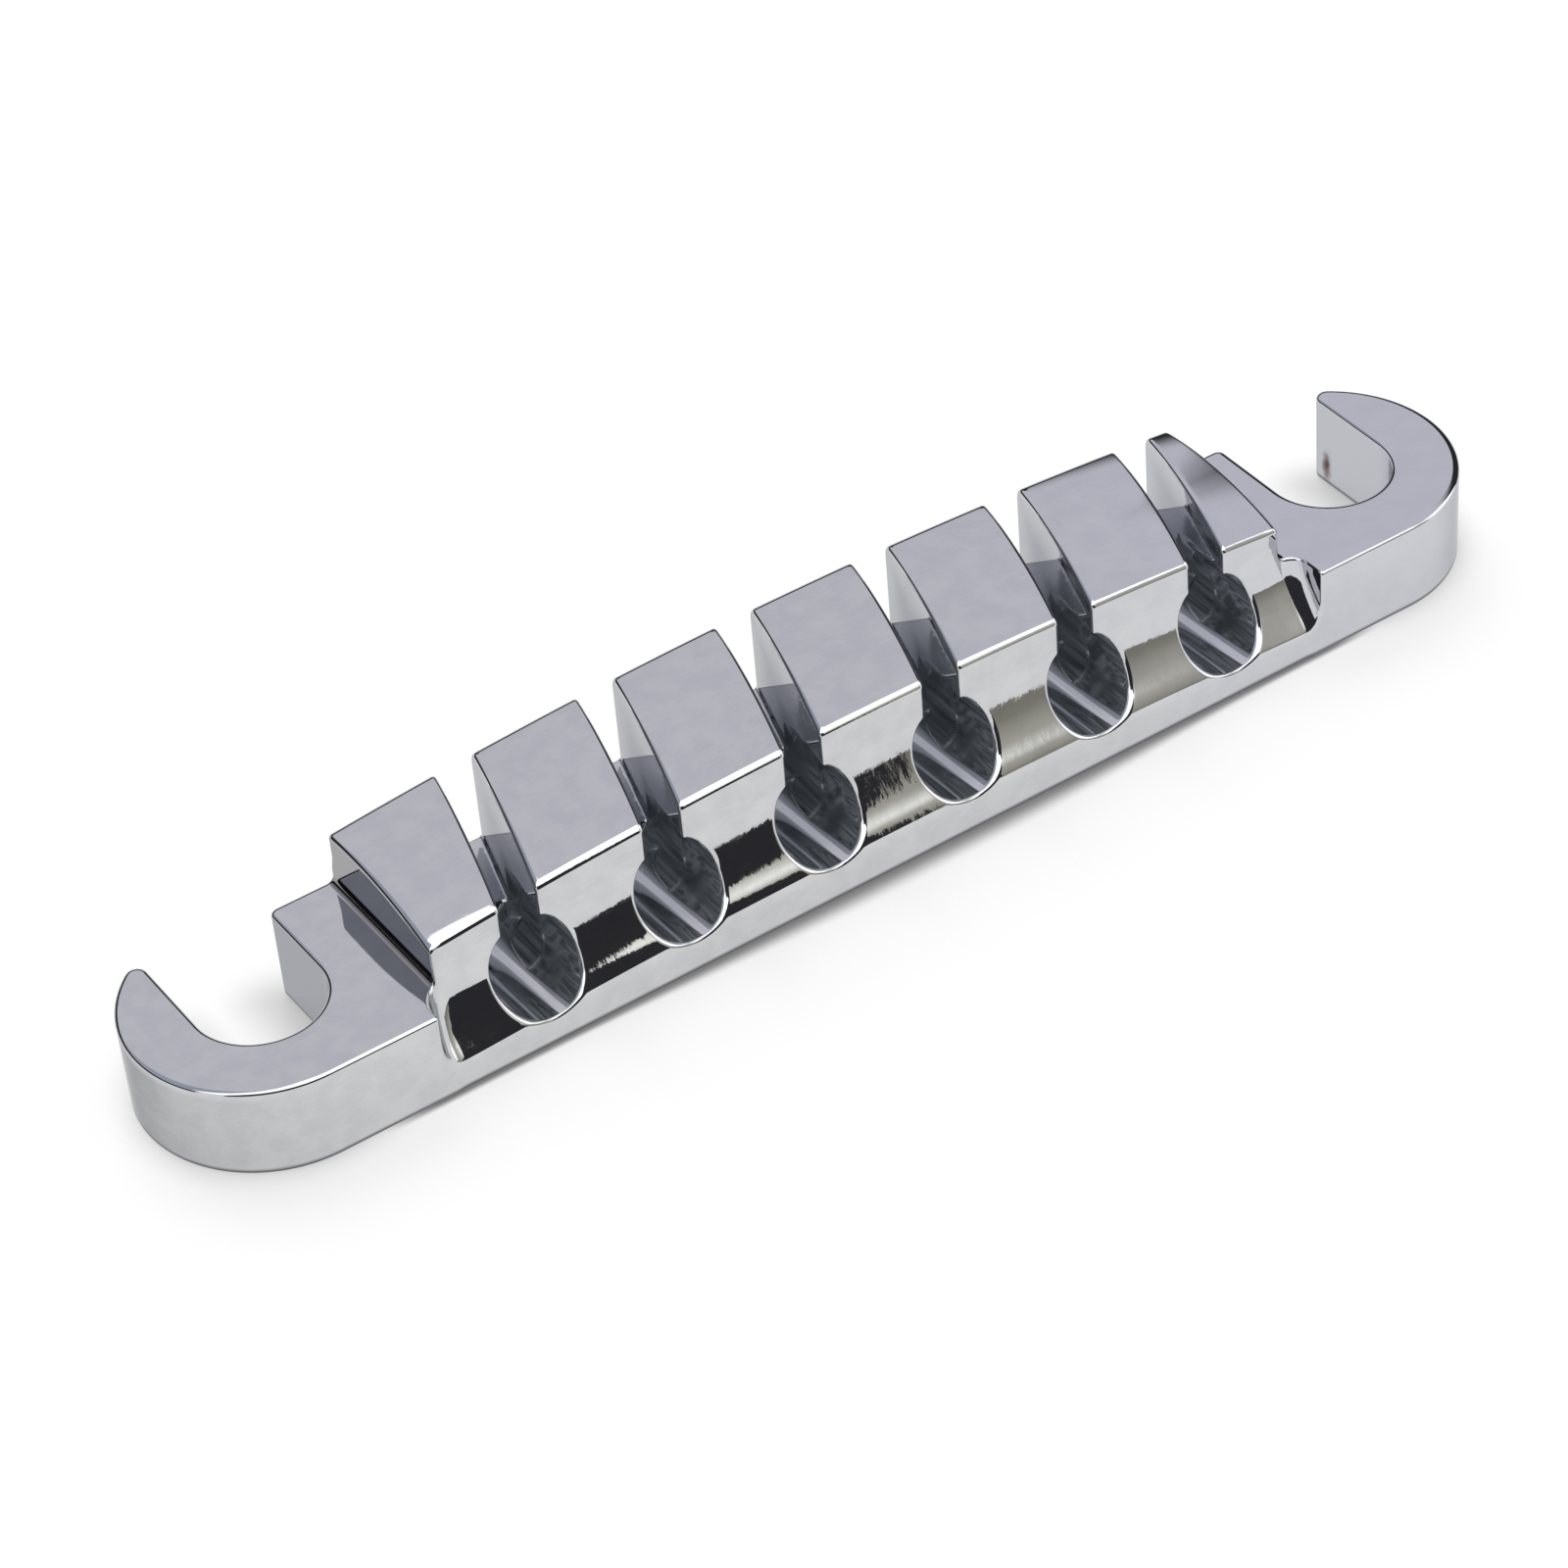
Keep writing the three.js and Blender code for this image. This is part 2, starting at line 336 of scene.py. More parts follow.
def bore_distance(x, y, z):
    """The keyhole bore nearest to a point."""
    string = nearest_string(x - BORE_SIDE_STEP)
    axis_z = BORE_HEIGHT - arch_drop(string, BORE_ARCH)
    wall = np.hypot(x - BORE_SIDE_STEP - string, z - axis_z) - BORE_RADIUS
    return round_edge(wall, y - BORE_DEPTH, BORE_CORNER)


def casting_distance(point, lines=None):
    """Signed distance to the finished surface, below zero in the metal."""
    x, y, z = point[..., 0], point[..., 1], point[..., 2]
    up_to_lip = ease((z - LIP_EDGE_BEGINS) / LIP_EDGE_BLEND)
    share = up_to_lip * ease((CROWN_HALF_LENGTH - np.abs(x)) / LIP_END_BLEND)
    lip_down = COVE_FOOT_EDGE + (LIP_EDGE - COVE_FOOT_EDGE) * share
    lip_across = COVE_FOOT_EDGE + (LIP_EDGE_ACROSS - COVE_FOOT_EDGE) * share
    body, cove = body_distance(x, y, z, lines), cove_distance(x, y, z)
    metal = polish_edge(body, -cove, lip_down, lip_across)
    slot, bore = slot_distance(x, y, z), bore_distance(x, y, z)
    rim = SLOT_EDGE + (BORE_RIM - SLOT_EDGE) * ease((slot - bore) * 2 + 0.5)
    cut = round_corner(slot, bore, SHOULDER_EDGE)
    if lines is not None:
        lines[:0] = [lip_across - cove, body + lip_down, rim - cut, metal + rim]
    return round_edge(metal, -cut, rim)


def edge_line(point, line):
    """Zero on one of the lines where a rounded edge begins."""
    lines = []
    casting_distance(point, lines)
    return lines[line]


def surface_slope(point, value=casting_distance):
    """Direction in which a value grows. The casting's distance grows along the surface's normal."""
    slope = np.empty_like(point)
    for axis in range(3):
        ahead, behind = point.copy(), point.copy()
        ahead[:, axis] += SLOPE_REACH
        behind[:, axis] -= SLOPE_REACH
        slope[:, axis] = (value(ahead) - value(behind)) / (2 * SLOPE_REACH)
    return slope


def surface_normal(point):
    """The slope of the casting's distance, brought to a length of one."""
    slope = surface_slope(point)
    return slope / np.linalg.norm(slope, axis=1)[:, None]


def settle(point, rounds):
    """Moves points onto the finished surface."""
    for _ in range(rounds):
        slope = surface_slope(point)
        size = np.maximum((slope**2).sum(1), LEAST_SLOPE_SQUARED)
        point = point - slope * (casting_distance(point) / size)[:, None]
    return point


def neighbours(axis):
    """Slices that pair each place of a grid with the next one along an axis."""
    first, second = [slice(None)] * 3, [slice(None)] * 3
    first[axis], second[axis] = slice(None, -1), slice(1, None)
    return tuple(first), tuple(second)


def points_in_cells(grid, value, cells):
    """The middle of the places where the surface crosses the edges of each cell."""
    total = np.zeros((len(cells), 3))
    crossings = np.zeros(len(cells))
    for axis in range(3):
        step = np.eye(3, dtype=int)[axis]
        one, two = (other for other in range(3) if other != axis)
        for along_one, along_two in ((0, 0), (0, 1), (1, 0), (1, 1)):
            start = cells.copy()
            start[:, one] += along_one
            start[:, two] += along_two
            first = value[tuple(start.T)]
            second = value[tuple((start + step).T)]
            cut = (first < 0) != (second < 0)
            share = np.where(cut, first / np.where(cut, first - second, 1), 0)
            place = grid[tuple(start.T)] + share[:, None] * step * SKIN_STEP
            total += np.where(cut[:, None], place, 0)
            crossings += cut
    return total / crossings[:, None]


def faces_between_cells(inside, number):
    """The four cells round each edge of the grid that the surface crosses, turned outwards."""
    faces = []
    for axis in range(3):
        one, two = (other for other in range(3) if other != axis)
        first, second = neighbours(axis)
        edges = np.argwhere(inside[first] != inside[second])
        outward = inside[first][tuple(edges.T)]
        corners = []
        for back_one, back_two in ((1, 1), (0, 1), (0, 0), (1, 0)):
            cell = edges.copy()
            cell[:, one] -= back_one
            cell[:, two] -= back_two
            corners.append(number[tuple(cell.T)])
        quads = np.stack(corners, 1)
        flip = outward if axis == 1 else ~outward
        quads[flip] = quads[flip][:, ::-1]
        faces.append(quads)
    return np.concatenate(faces)


def skin_of_casting():
    """Points and four-sided faces of a skin of even cells over the casting."""
    low = np.array([-SKIN_HALF_LENGTH, -SKIN_MARGIN, -SKIN_MARGIN])
    high = np.array([SKIN_HALF_LENGTH, OVERALL_DEPTH + SKIN_MARGIN, CROWN_HEIGHT + SKIN_MARGIN])
    axes = [np.arange(a, b, SKIN_STEP) for a, b in zip(low, high)]
    grid = np.stack(np.meshgrid(*axes, indexing="ij"), -1)
    value = casting_distance(grid)
    inside = value < 0
    corners_inside = inside.astype(np.int8)
    for axis in range(3):
        first, second = neighbours(axis)
        corners_inside = corners_inside[first] + corners_inside[second]
    cells = np.argwhere((corners_inside > 0) & (corners_inside < 8))
    number = np.full(corners_inside.shape, -1, np.int64)
    number[tuple(cells.T)] = np.arange(len(cells))
    return points_in_cells(grid, value, cells), faces_between_cells(inside, number)


def slide_to_line(points, line):
    """Moves points along the surface onto a line where a rounded edge begins."""
    for _ in range(2):
        normal = surface_normal(points)
        slope = surface_slope(points, lambda place: edge_line(place, line))
        slope -= normal * (slope * normal).sum(1)[:, None]
        size = np.maximum((slope**2).sum(1), LEAST_LINE_SLOPE_SQUARED)
        points = points - slope * (edge_line(points, line) / size)[:, None]
    return points


def follow_edges(points, quads):
    """Moves the points of cells that straddle such a line onto it, each at most once."""
    sides = np.concatenate([quads[:, [i, (i + 1) % 4]] for i in range(4)])
    free = np.ones(len(points), bool)
    for line in range(EDGE_LINE_COUNT):
        value = edge_line(points, line)
        one, two = sides[value[sides[:, 0]] * value[sides[:, 1]] < 0].T
        chosen = np.unique(np.where(np.abs(value[one]) < np.abs(value[two]), one, two))
        chosen = chosen[free[chosen]]
        moved = slide_to_line(points[chosen], line)
        near = np.linalg.norm(moved - points[chosen], axis=1) < LONGEST_SLIDE
        points[chosen[near]] = moved[near]
        free[chosen[near]] = False
    return settle(points, 2)


def split_bent_cells(points, quads):
    """Faces of the skin, with each cell that isn't flat split along its straighter diagonal."""
    normal = surface_normal(points)
    bends = [1 - (normal[quads[:, i]] * normal[quads[:, i + 2]]).sum(1) for i in (0, 1)]
    flat = np.maximum(*bends) < FLAT_CELL_BEND
    first = ~flat & (bends[0] <= bends[1])
    second = ~flat & ~first
    faces = quads[flat].tolist()
    for chosen, halves in ((first, ((0, 1, 2), (0, 2, 3))), (second, ((0, 1, 3), (1, 2, 3)))):
        for half in halves:
            faces += quads[chosen][:, half].tolist()
    return faces


def refine_edges(mesh):
    """Splits the cells that bend sharply, so that each rounded edge has its own facets."""
    shape = bmesh.new()
    shape.from_mesh(mesh)
    for shortest, sharpest in REFINEMENTS:
        points = np.array([vert.co for vert in shape.verts])
        normals = surface_normal(points)
        shape.edges.index_update()
        ends = np.array([[vert.index for vert in edge.verts] for edge in shape.edges])
        bend = (normals[ends[:, 0]] * normals[ends[:, 1]]).sum(1)
        length = np.linalg.norm(points[ends[:, 0]] - points[ends[:, 1]], axis=1)
        chosen = np.flatnonzero((bend < math.cos(math.radians(sharpest))) & (length > shortest))
        shape.edges.ensure_lookup_table()
        edges = [shape.edges[i] for i in chosen]
        bmesh.ops.subdivide_edges(shape, edges=edges, cuts=1, use_grid_fill=True)
        shape.verts.index_update()
        placed = settle(np.array([vert.co for vert in shape.verts]), 3)
        for vert, place in zip(shape.verts, placed):
            vert.co = place
    verts, edges = shape.verts[:], shape.edges[:]
    bmesh.ops.dissolve_limit(shape, angle_limit=FLAT_FACE_ANGLE, verts=verts, edges=edges)
    many_sided = [face for face in shape.faces if len(face.verts) > 4]
    bmesh.ops.triangulate(shape, faces=many_sided)
    shape.to_mesh(mesh)
    shape.free()


def add_attribute(mesh, name, values):
    """Gives each corner of a mesh a number that materials can read."""
    attribute = mesh.attributes.new(name, "FLOAT", "POINT")
    attribute.data.foreach_set("value", values.astype(np.float32))


def add_object(name, data):
    """Puts a new object at the origin of the scene."""
    added = bpy.data.objects.new(name, data)
    bpy.context.collection.objects.link(added)
    return added


def add_wear(mesh, points):
    """Tells the plating where it lies deep, in the cove, at the crown's ends and in the hooks.

    The shares that are eased here go from 1 to 0 over some tenths of a millimetre.
    """
    x, y, z = points.T
    cove = cove_distance(x, y, z)
    outer = np.maximum(body_distance(x, y, z), -cove)
    add_attribute(mesh, "depth_inside", np.maximum(-outer, 0))
    add_attribute(mesh, "cove_share", ease(1.5 - np.abs(cove) * 4))
    # Shares where shade is painted: the crease at the crown's foot and the crown's end faces
    past_end, over_plate = np.abs(x) - CROWN_HALF_LENGTH, z - PLATE_THICKNESS
    foot = ease(3 - np.maximum(past_end, over_plate) * 5) * ease(past_end * 6 + 0.5)
    add_attribute(mesh, "crown_foot", np.where(over_plate > 0.01, foot, 0))
    add_attribute(mesh, "crown_end", ease(past_end * 8 + 1.6) * ease(over_plate * 3))
    below_edge = z < PLATE_THICKNESS - PLATE_EDGE / 2
    add_attribute(mesh, "stud_wall", ease(1 - from_stud_slot(x, y) * 4) * below_edge)


def make_casting():
    """The whole casting as one mesh, with the normals of the true surface."""
    points, quads = skin_of_casting()
    points = follow_edges(settle(points, 4), quads)
    mesh = bpy.data.meshes.new("polished_casting")
    mesh.from_pydata(points.tolist(), [], split_bent_cells(points, quads))
    refine_edges(mesh)
    points = np.empty(len(mesh.vertices) * 3)
    mesh.vertices.foreach_get("co", points)
    points = settle(points.reshape(-1, 3), 2)
    add_wear(mesh, points)
    placed = np.clip((points - [0, OVERALL_DEPTH / 2, 0]) * MM, cad_box[0], cad_box[1])
    mesh.vertices.foreach_set("co", placed.ravel())
    mesh.polygons.foreach_set("use_smooth", np.ones(len(mesh.polygons), bool))
    mesh.normals_split_custom_set_from_vertices(surface_normal(points).tolist())
    return add_object("polished_casting", mesh)


class Nodes:
    """Adds nodes to a material or the world and joins them."""

    def __init__(self, tree):
        self.tree = tree

    def add(self, kind, settings=None, **inputs):
        """A node with its settings, fed by input name, with _ for a space."""
        node = self.tree.nodes.new(kind)
        for key, value in (settings or {}).items():
            setattr(node, key, value)
        for key, value in inputs.items():
            self.feed(node, key.replace("_", " "), value)
        return node

    def feed(self, node, key, value):
        """Joins an output to an input, or sets the input. A colour is given without its alpha."""
        socket = node.inputs[int(key) if key.isdigit() else key]
        if isinstance(value, bpy.types.NodeSocket):
            self.tree.links.new(value, socket)
        elif socket.type == "RGBA":
            socket.default_value = (*value, 1)
        else:
            socket.default_value = value

    def attribute(self, name):
        """An attribute of the mesh."""
        return self.add("ShaderNodeAttribute", {"attribute_name": name}).outputs["Fac"]

    def math(self, operation, *values):
        """One operation on two or three values."""
        node = self.add("ShaderNodeMath", {"operation": operation})
        for i, value in enumerate(values):
            self.feed(node, str(i), value)
        return node.outputs[0]

    def product(self, first, *others):
        """Several values multiplied."""
        for other in others:
            first = self.math("MULTIPLY", first, other)
        return first

    def ramp(self, value, low, high, start=0.0, end=1.0, smooth=True):
        """Goes from start to end while the value goes from low to high."""
        kind = "SMOOTHSTEP" if smooth else "LINEAR"
        node = self.add("ShaderNodeMapRange", {"interpolation_type": kind})
        keys = ("Value", "From Min", "From Max", "To Min", "To Max")
        for key, number in zip(keys, (value, low, high, start, end)):
            self.feed(node, key, number)
        return node.outputs[0]

    def mix(self, share, first, second):
        """Goes from the first colour to the second."""
        node = self.add("ShaderNodeMix", {"data_type": "RGBA"})
        for key, value in zip(("0", "6", "7"), (share, first, second)):
            self.feed(node, key, value)
        return node.outputs[2]

    def noise(self, place, scale, detail=2.0, stretch=(1, 1, 1)):
        """Noise from 0 to 1, with its scale given per millimetre."""
        per_metre = [1000 * share for share in stretch]
        vector = self.add("ShaderNodeMapping", Vector=place, Scale=per_metre).outputs[0]
        node = self.add("ShaderNodeTexNoise", Vector=vector, Scale=scale, Detail=detail)
        return node.outputs["Fac"]


def start_material(name):
    """A new material, its nodes and its shader."""
    material = bpy.data.materials.new(name)
    material.use_nodes = True
    nodes = Nodes(material.node_tree)
    return material, nodes, material.node_tree.nodes["Principled BSDF"]


def bright_colour(nodes, place, side, across, height):
    """Clouded plating, bluish towards +X, darker inside both hooks, with painted shade on the left
    hook's outer wall.
    """
    streaks = nodes.noise(place, 4.0, 3.0, (0.25, 1, 1))
    cloud = nodes.math("MULTIPLY_ADD", streaks, 0.35, nodes.noise(place, 0.6, 5.0))
    bright = nodes.mix(nodes.ramp(cloud, 0.5, 0.85), BRIGHT, BRIGHTER)
    bright = nodes.mix(nodes.ramp(side, *BLUISH_X, 0.0, 0.6), bright, BLUISH)
    # Painted shade on the left hook's outer wall, strongest towards the far side, the left end and
    # below the top edge
    to_far_side = nodes.ramp(across, *PAINTED_SHADE_LEFT_Y, 0.15, 1.0, smooth=False)
    left_end = nodes.ramp(side, *PAINTED_SHADE_LEFT_X, 1.0, 0.0)
    uneven = nodes.ramp(cloud, 0.4, 0.9, 1.0, 0.8)
    under_edge = nodes.ramp(height, *PAINTED_SHADE_LEFT_Z, 1.0, 0.0)
    left_wall_shade = nodes.product(to_far_side, left_end, uneven, under_edge)
    bright = nodes.mix(left_wall_shade, bright, LEFT_WALL_PAINTED_SHADE)
    stud_colour = nodes.mix(nodes.ramp(side, *STUD_WALLS_X), LEFT_STUD_WALL, RIGHT_STUD_WALL)
    return nodes.mix(nodes.attribute("stud_wall"), bright, stud_colour)


def stain_share(nodes, place):
    """The small stain low on the right hook's inner wall."""
    to_stain = nodes.add("ShaderNodeMapping", {"vector_type": "TEXTURE"}, Vector=place)
    nodes.feed(to_stain, "Location", STAIN_PLACE)
    nodes.feed(to_stain, "Scale", STAIN_SIZE)
    reach = nodes.add("ShaderNodeVectorMath", {"operation": "LENGTH"})
    nodes.feed(reach, "0", to_stain.outputs[0])
    patchy = nodes.math("ADD", reach.outputs["Value"], nodes.noise(place, 1.3, 3.0))
    return nodes.ramp(patchy, 0.6, 1.75, 0.95, 0.0)


def plating_bump(nodes, place, side):
    """Slow waves all over, and in the cove ripples that fray the edges of its reflections."""
    ripple = nodes.math("SUBTRACT", nodes.noise(place, 1.0, 4.0, (1.7, 0.7, 0.7)), 0.5)
    ripple = nodes.math("MULTIPLY", ripple, RIPPLE_HEIGHT)
    crinkle = nodes.math("SUBTRACT", nodes.noise(place, 4.5, 2.0, (1.4, 0.5, 0.5)), 0.5)
    to_patch = nodes.math("ABSOLUTE", nodes.math("SUBTRACT", side, CRINKLE_X))
    patch = nodes.ramp(to_patch, *CRINKLE_REACH, 1.0, 0.0)
    crinkle = nodes.product(crinkle, CRINKLE_HEIGHT, patch)
    in_cove = nodes.product(nodes.math("ADD", ripple, crinkle), nodes.attribute("cove_share"))
    waves = nodes.math("MULTIPLY", nodes.noise(place, 0.5, 2.0), WAVE_HEIGHT)
    height = nodes.math("ADD", in_cove, waves)
    bump = nodes.add("ShaderNodeBump", Height=height, Strength=1.0, Distance=BUMP_UNIT)
    return bump.outputs[0]


def chrome_plating():
    """Buffed chrome over zinc, thin and dull down in the slots and keyholes.

    It reads places in metres, and attributes that are shares or depths in millimetres.
    """
    material, nodes, shader = start_material("chrome_plating")
    place = nodes.add("ShaderNodeTexCoord").outputs["Object"]
    side, across, height = nodes.add("ShaderNodeSeparateXYZ", Vector=place).outputs
    depth, foot = nodes.attribute("depth_inside"), nodes.attribute("crown_foot")
    thin, deep = nodes.ramp(depth, *THIN_DEPTHS), nodes.ramp(depth, *DEEP_DEPTHS, 0.0, 0.5)

    colour = bright_colour(nodes, place, side, across, height)
    colour = nodes.mix(thin, colour, THIN_PLATING)
    # Painted shade: darker crown end faces and a darker crease at the crown's foot
    colour = nodes.mix(nodes.attribute("crown_end"), colour, CROWN_END_PAINTED_SHADE)
    colour = nodes.mix(nodes.math("MULTIPLY", foot, 0.8), colour, CROWN_FOOT_PAINTED_SHADE)
    colour = nodes.mix(deep, colour, DEEP_PLATING)
    # Painted contact shadow: a dark line along the bottom edge
    colour = nodes.mix(nodes.ramp(height, *PAINTED_BASE_SHADOW_Z, 0.9, 0.0), colour, PAINTED_BASE_SHADOW)
    colour = nodes.mix(stain_share(nodes, place), colour, STAIN)

    # Light that has bounced twice between the walls of a hollow ends in their mean colour
    bounces = nodes.add("ShaderNodeLightPath").outputs["Glossy Depth"]
    hollow = nodes.math("MAXIMUM", nodes.ramp(depth, *HOLLOW_DEPTHS), foot)
    lost = nodes.math("MULTIPLY", nodes.ramp(bounces, 1, 2, smooth=False), hollow)
    drawn = nodes.ramp(nodes.noise(place, 1.6, 3.0, (1, 0.12, 1)), 0.35, 0.7, 0.45, 1.5)
    nodes.feed(shader, "Base Color", nodes.mix(lost, colour, BLACK))
    nodes.feed(shader, "Emission Color", LIGHT_LOST_IN_HOLLOWS)
    nodes.feed(shader, "Emission Strength", nodes.math("MULTIPLY", lost, drawn))

    nodes.feed(shader, "Metallic", 1)
    nodes.feed(shader, "Specular Tint", GRAZING_TINT)
    hairlines = nodes.noise(place, 3.0, 4.0, (0.3, 2.2, 1))
    outside = nodes.ramp(hairlines, 0.4, 0.7, *HAIRLINE_ROUGHNESS)
    thin_part = nodes.ramp(thin, 0, 1, 0, THIN_ROUGHNESS)
    inside = nodes.math("ADD", thin_part, nodes.math("MULTIPLY", deep, DEEP_ROUGHNESS))
    nodes.feed(shader, "Roughness", nodes.math("ADD", outside, inside))
    nodes.feed(shader, "Normal", plating_bump(nodes, place, side))
    return material


def seen_things(nodes):
    """Two outputs: one for camera rays, one for all rays that show a thing instead of light."""
    light = nodes.add("ShaderNodeLightPath")
    by_camera = light.outputs["Is Camera Ray"]
    seen = nodes.math("MAXIMUM", by_camera, light.outputs["Is Glossy Ray"])
    return by_camera, nodes.math("MAXIMUM", seen, light.outputs["Is Transmission Ray"])


def white_table():
    """White paper that the camera and the chrome see lighter than it is, bar the contact shadow."""
    material, nodes, shader = start_material("white_table")
    nodes.feed(shader, "Base Color", PAPER)
    nodes.feed(shader, "Roughness", PAPER_ROUGHNESS)
    by_camera, seen = seen_things(nodes)
    colour = nodes.mix(by_camera, PAPER_IN_CHROME, PAPER_TO_CAMERA)
    paper = nodes.add("ShaderNodeBsdfDiffuse", Color=colour)
    glows = (PAPER_GLOW_IN_CHROME, PAPER_GLOW_TO_CAMERA)
    strength = nodes.ramp(by_camera, 0, 1, *glows, smooth=False)
    contact = nodes.math("MULTIPLY", nodes.attribute("contact"), by_camera)
    strength = nodes.math("MULTIPLY", strength, nodes.math("SUBTRACT", 1.0, contact))
    glow = nodes.add("ShaderNodeEmission", Color=WHITE, Strength=strength)
    both = nodes.add("ShaderNodeAddShader")
    nodes.feed(both, "0", paper.outputs[0])
    nodes.feed(both, "1", glow.outputs[0])
    chosen = nodes.add("ShaderNodeMixShader", Fac=seen)
    nodes.feed(chosen, "1", shader.outputs[0])
    nodes.feed(chosen, "2", both.outputs[0])
    nodes.feed(material.node_tree.nodes["Material Output"], "Surface", chosen.outputs[0])
    return material


def contact_shadow(along, across):
    """How dark the table is near the casting, at places given as the casting's sizes are.

    A narrow line runs along the near side, widest near the middle, and a soft patch lies in and
    round each hook.
    """
    away = plan_distance(along, across)
    from_middle = np.abs(along - CONTACT_LINE_MIDDLE) / CONTACT_LINE_REACH
    swell = ease(1 + CONTACT_LINE_FULL_SHARE - from_middle)
    width = CONTACT_LINE_WIDTH + CONTACT_LINE_SWELL * swell
    beside_bar = ease((CONTACT_LINE_END - np.abs(along)) / CONTACT_LINE_END_BLEND) * (across < 1)
    line = ease(1 - away / width) * CONTACT_LINE_DARKNESS * beside_bar
    from_hook = np.hypot(np.abs(along) - HOOK_CENTRE_X, across - HOOK_OUTER_RADIUS)
    round_hook = ease((CONTACT_PATCH_RADIUS - from_hook) / CONTACT_PATCH_BLEND)
    patch = ease(1 - away / CONTACT_PATCH_WIDTH) * CONTACT_PATCH_DARKNESS * round_hook
    return np.maximum(line, patch)


def table_top():
    """The table, with small faces near the casting that carry its contact shadow."""
    half_length, half_depth = CONTACT_HALF_LENGTH, CONTACT_HALF_DEPTH
    fine_x = np.arange(-half_length, half_length + CONTACT_STEP_X / 2, CONTACT_STEP_X) * MM
    fine_y = np.arange(-half_depth, half_depth + CONTACT_STEP_Y / 2, CONTACT_STEP_Y) * MM
    lines_x = np.concatenate([[-TABLE_HALF_SIZE], fine_x, [TABLE_HALF_SIZE]])
    lines_y = np.concatenate([[-TABLE_HALF_SIZE], fine_y, [TABLE_HALF_SIZE]])
    x, y = (values.ravel() for values in np.meshgrid(lines_x, lines_y, indexing="ij"))
    number = np.arange(len(x)).reshape(len(lines_x), len(lines_y))
    corners = (number[:-1, :-1], number[1:, :-1], number[1:, 1:], number[:-1, 1:])
    faces = np.stack(corners, -1).reshape(-1, 4)
    mesh = bpy.data.meshes.new("white_table")
    mesh.from_pydata([(a, b, TABLE_Z) for a, b in zip(x, y)], [], faces.tolist())
    along = np.clip(x / MM, -half_length, half_length)
    across = np.clip(y / MM, -half_depth, half_depth) + OVERALL_DEPTH / 2
    add_attribute(mesh, "contact", contact_shadow(along, across))
    mesh.materials.append(white_table())
    return add_object("white_table", mesh)


def card_glow(name, colours, begins):
    """A glow that goes from the first colour to the last with the mesh's share."""
    material = bpy.data.materials.new(name)
    material.use_nodes = True
    material.node_tree.nodes.clear()
    nodes = Nodes(material.node_tree)
    risen = nodes.ramp(nodes.attribute("share"), begins, 1)
    colour = nodes.mix(risen, colours[0], colours[-1])
    glow = nodes.add("ShaderNodeEmission", Color=colour, Strength=1.0)
    nodes.feed(nodes.add("ShaderNodeOutputMaterial"), "Surface", glow.outputs[0])
    return material


def light_card(
    name, turns, lows, highs, colours, radius, begins=0.0, fades=None, across=None, edge=None
):
    """A card that only the chrome sees: a patch of a dome between two lists of heights.

    Turns and heights are in degrees, and turns are counted from the side where the strings are
    loaded towards +X. The card goes from its first colour to its last as it rises, once the share
    begins is reached, and less far where fades is low. Where across is given, it goes by these
    shares of its turns instead. Edge gives heights and the turns that its last side has there.
    """
    columns, rows = 41, 21
    points, shares, faces = [], [], []
    for column in range(columns):
        along = column / (columns - 1)
        turn = turns[0] + (turns[-1] - turns[0]) * along
        low, high = np.interp(turn, turns, lows), np.interp(turn, turns, highs)
        for row in range(rows):
            risen = row / (rows - 1)
            height = low + (high - low) * row / (rows - 1)
            leaned = turn + along * (np.interp(height, *edge) - turns[-1]) if edge else turn
            sideways, up = math.radians(leaned), math.radians(height)
            level = math.cos(up) * radius
            place = (math.sin(sideways) * level, -math.cos(sideways) * level, math.sin(up) * radius)
            points.append(place)
            fade = np.interp(turn, turns, fades) if fades else 1
            shares.append(np.interp(turn, turns, across) if across else risen * fade)
            if column and row:
                corner = column * rows + row
                faces.append((corner, corner - 1, corner - rows - 1, corner - rows))
    mesh = bpy.data.meshes.new(name)
    mesh.from_pydata(points, [], faces)
    add_attribute(mesh, "share", np.array(shares))
    mesh.materials.append(card_glow(name, colours, begins))
    card = add_object(name, mesh)
    card.visible_camera = False
    card.visible_diffuse = False
    card.visible_shadow = False


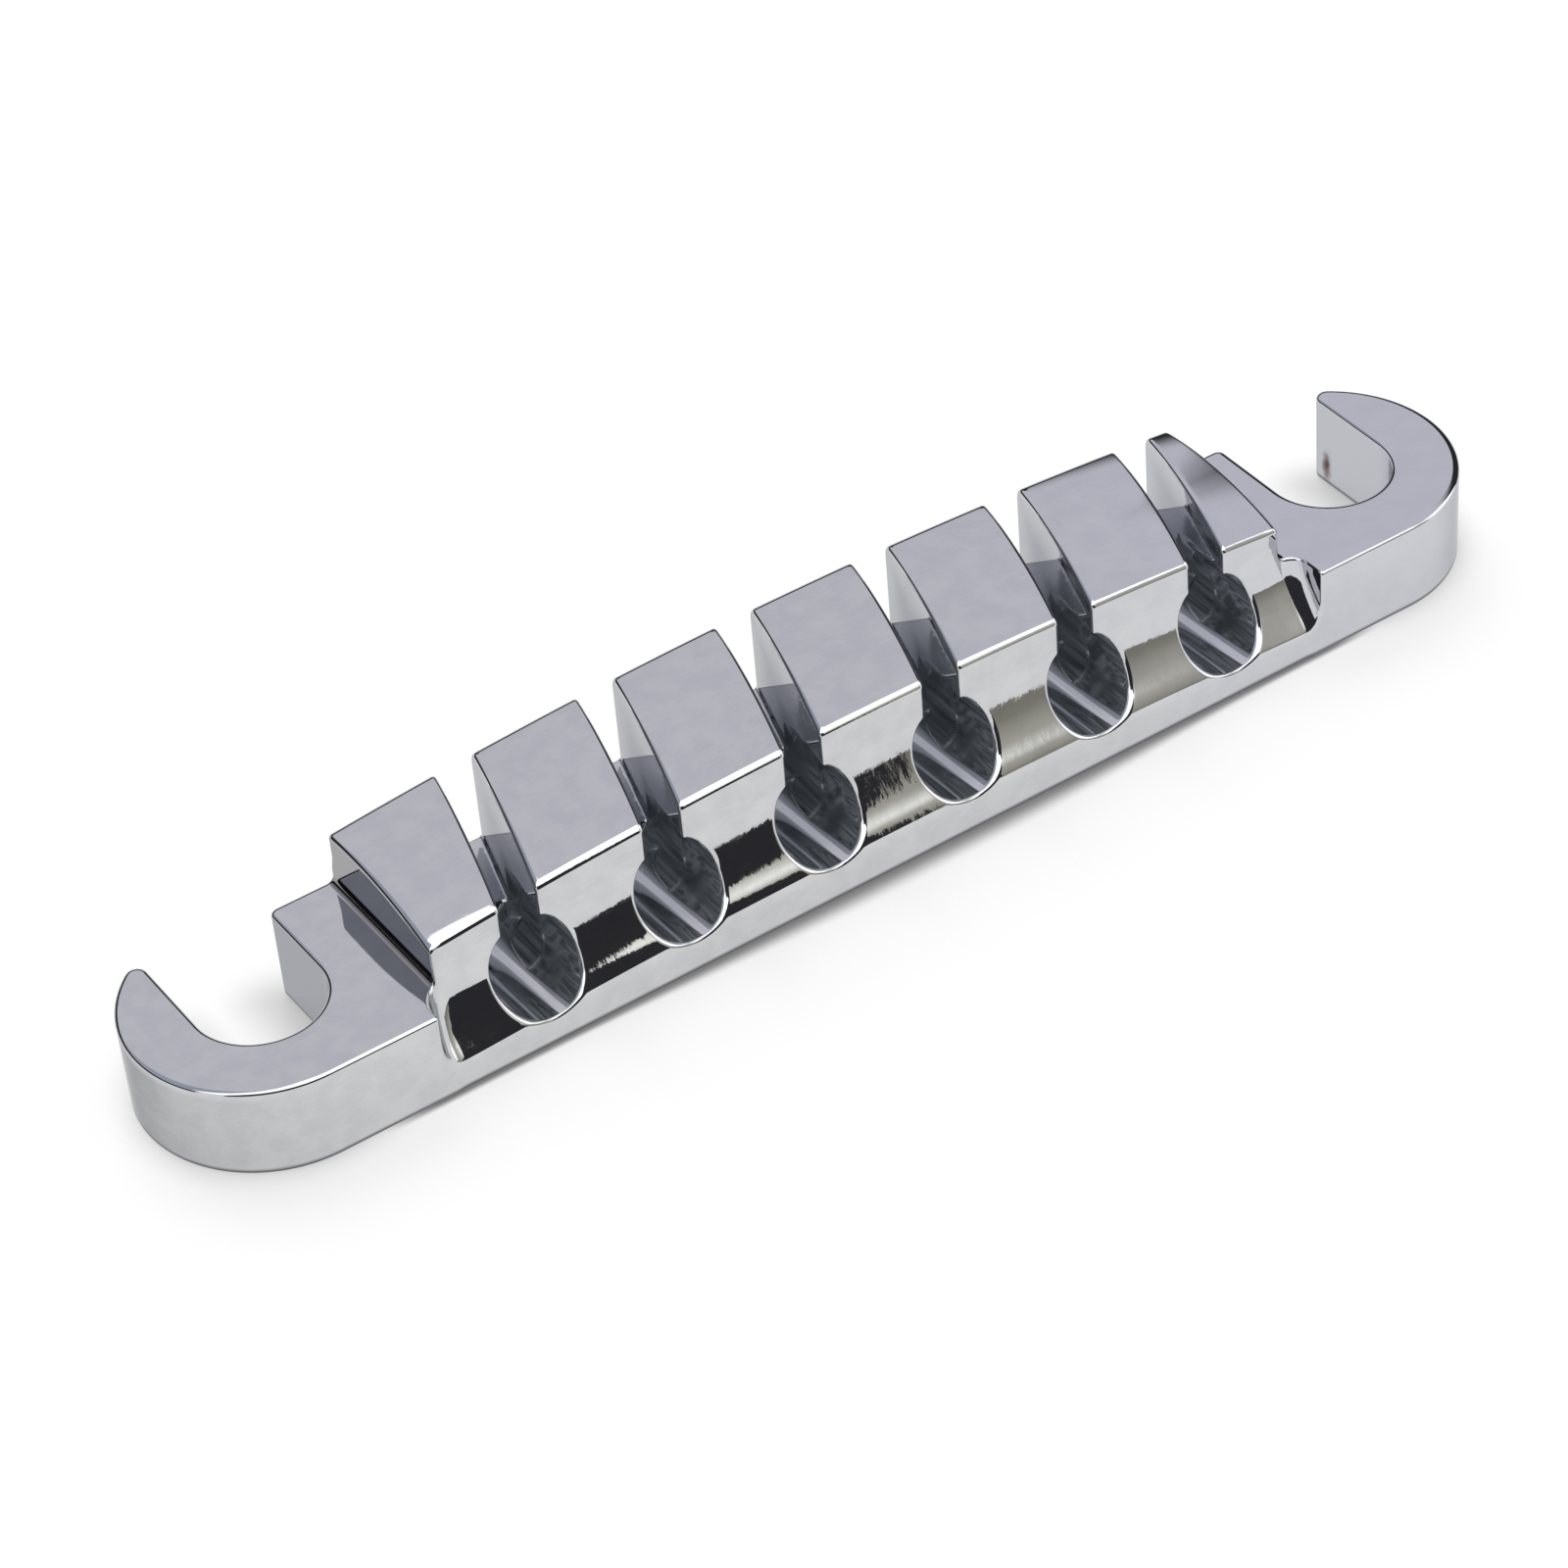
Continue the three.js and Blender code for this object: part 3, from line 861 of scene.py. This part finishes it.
def light_cards():
    """What the chrome reflects: a dark card in front, pale walls, soft boxes and a ceiling."""
    below_table, wall_top, zenith = -3, 22, 90

    turns, lows, highs = (-60, -50, 0, 15, 25), (below_table,) * 5, (38, 49, 47, 45, 42)
    edge = ((0, 20, 27, 31, 36, 39), (24.8, 25.3, 23.2, 20.9, 19.4, 19.1))
    light_card("black_card", turns, lows, highs, (DARK,), 1.3, edge=edge)

    turns, lows, highs = (18, 50), (below_table,) * 2, (wall_top,) * 2
    light_card("wall_card", turns, lows, highs, (TAN, PALE), 1.31, fades=(1, 0.6))

    turns, lows, highs = (18, 29, 36, 42, 50), (wall_top,) * 5, (38,) * 5
    fades = (1, 1, 0.45, 0.15, 0.1)
    light_card("bright_wall", turns, lows, highs, (PALE, GLARE), 1.31, fades=fades)

    turns, lows = (-90, 45, 56, 64, 75, 90, 105, 131), (38, 38, 40, 52, 66, 75, 78, 80)
    light_card("soft_box", turns, lows, (zenith,) * 8, (SOFT_BOX,), 1.32)

    light_card("side_box", (56, 90), (12, 12), (46, 40), (SIDE_BOX,), 1.27)

    turns, lows, highs = (60, 198, 212, 270), (9,) * 4, (zenith,) * 4
    light_card("ceiling_card", turns, lows, highs, (LILAC, BLUE), 1.35, across=(0, 0, 1, 1))

    turns, highs = (90, 125, 131, 136, 146, 170, 200, 280), (46, 46, 42, 27, 24, 24, 30, 36)
    colours = (TABLE_END, LILAC)
    light_card("table_end", turns, (below_table,) * 8, highs, colours, 1.28, begins=0.78)


def lamp():
    """A large soft lamp behind and above, which the chrome doesn't see."""
    data = bpy.data.lights.new("back_lamp", "AREA")
    data.size = LAMP_SIZE
    data.energy = LAMP_POWER
    back_lamp = add_object("back_lamp", data)
    back_lamp.location = LAMP_PLACE
    back_lamp.rotation_euler = (-back_lamp.location).to_track_quat("-Z", "Y").to_euler()
    back_lamp.visible_glossy = False


def white_world():
    """A world that looks white and lights less than it shows."""
    world = bpy.data.worlds.new("studio")
    world.use_nodes = True
    nodes = Nodes(world.node_tree)
    _, seen = seen_things(nodes)
    background = world.node_tree.nodes["Background"]
    nodes.feed(background, "Color", WHITE)
    nodes.feed(background, "Strength", nodes.ramp(seen, 0, 1, WORLD_LIGHT, 1.0, smooth=False))
    bpy.context.scene.world = world


def camera():
    """The photograph's camera."""
    data = bpy.data.cameras.new("camera")
    data.sensor_width = 36
    data.lens = CAMERA_LENS
    data.clip_start, data.clip_end = 0.01, 20
    view = add_object("camera", data)
    level, roll = math.cos(CAMERA_RISE), CAMERA_ROLL
    sideways, away = math.sin(CAMERA_TURN) * level, -math.cos(CAMERA_TURN) * level
    back = Vector((sideways, away, math.sin(CAMERA_RISE)))
    right = Vector((0, 0, 1)).cross(back).normalized()
    up = back.cross(right)
    turned_right = right * math.cos(roll) + up * math.sin(roll)
    turned_up = up * math.cos(roll) - right * math.sin(roll)
    pose = Matrix((turned_right, turned_up, back)).transposed().to_4x4()
    pose.translation = Vector(CAMERA_PLACE)
    view.matrix_world = pose
    bpy.context.scene.camera = view
    bpy.context.scene.view_settings.view_transform = "Standard"


camera()
casting = make_casting()
casting.data.materials.append(chrome_plating())
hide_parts("tailpiece_casting")
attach(casting, "root")
table = table_top()
light_cards()
lamp()
white_world()
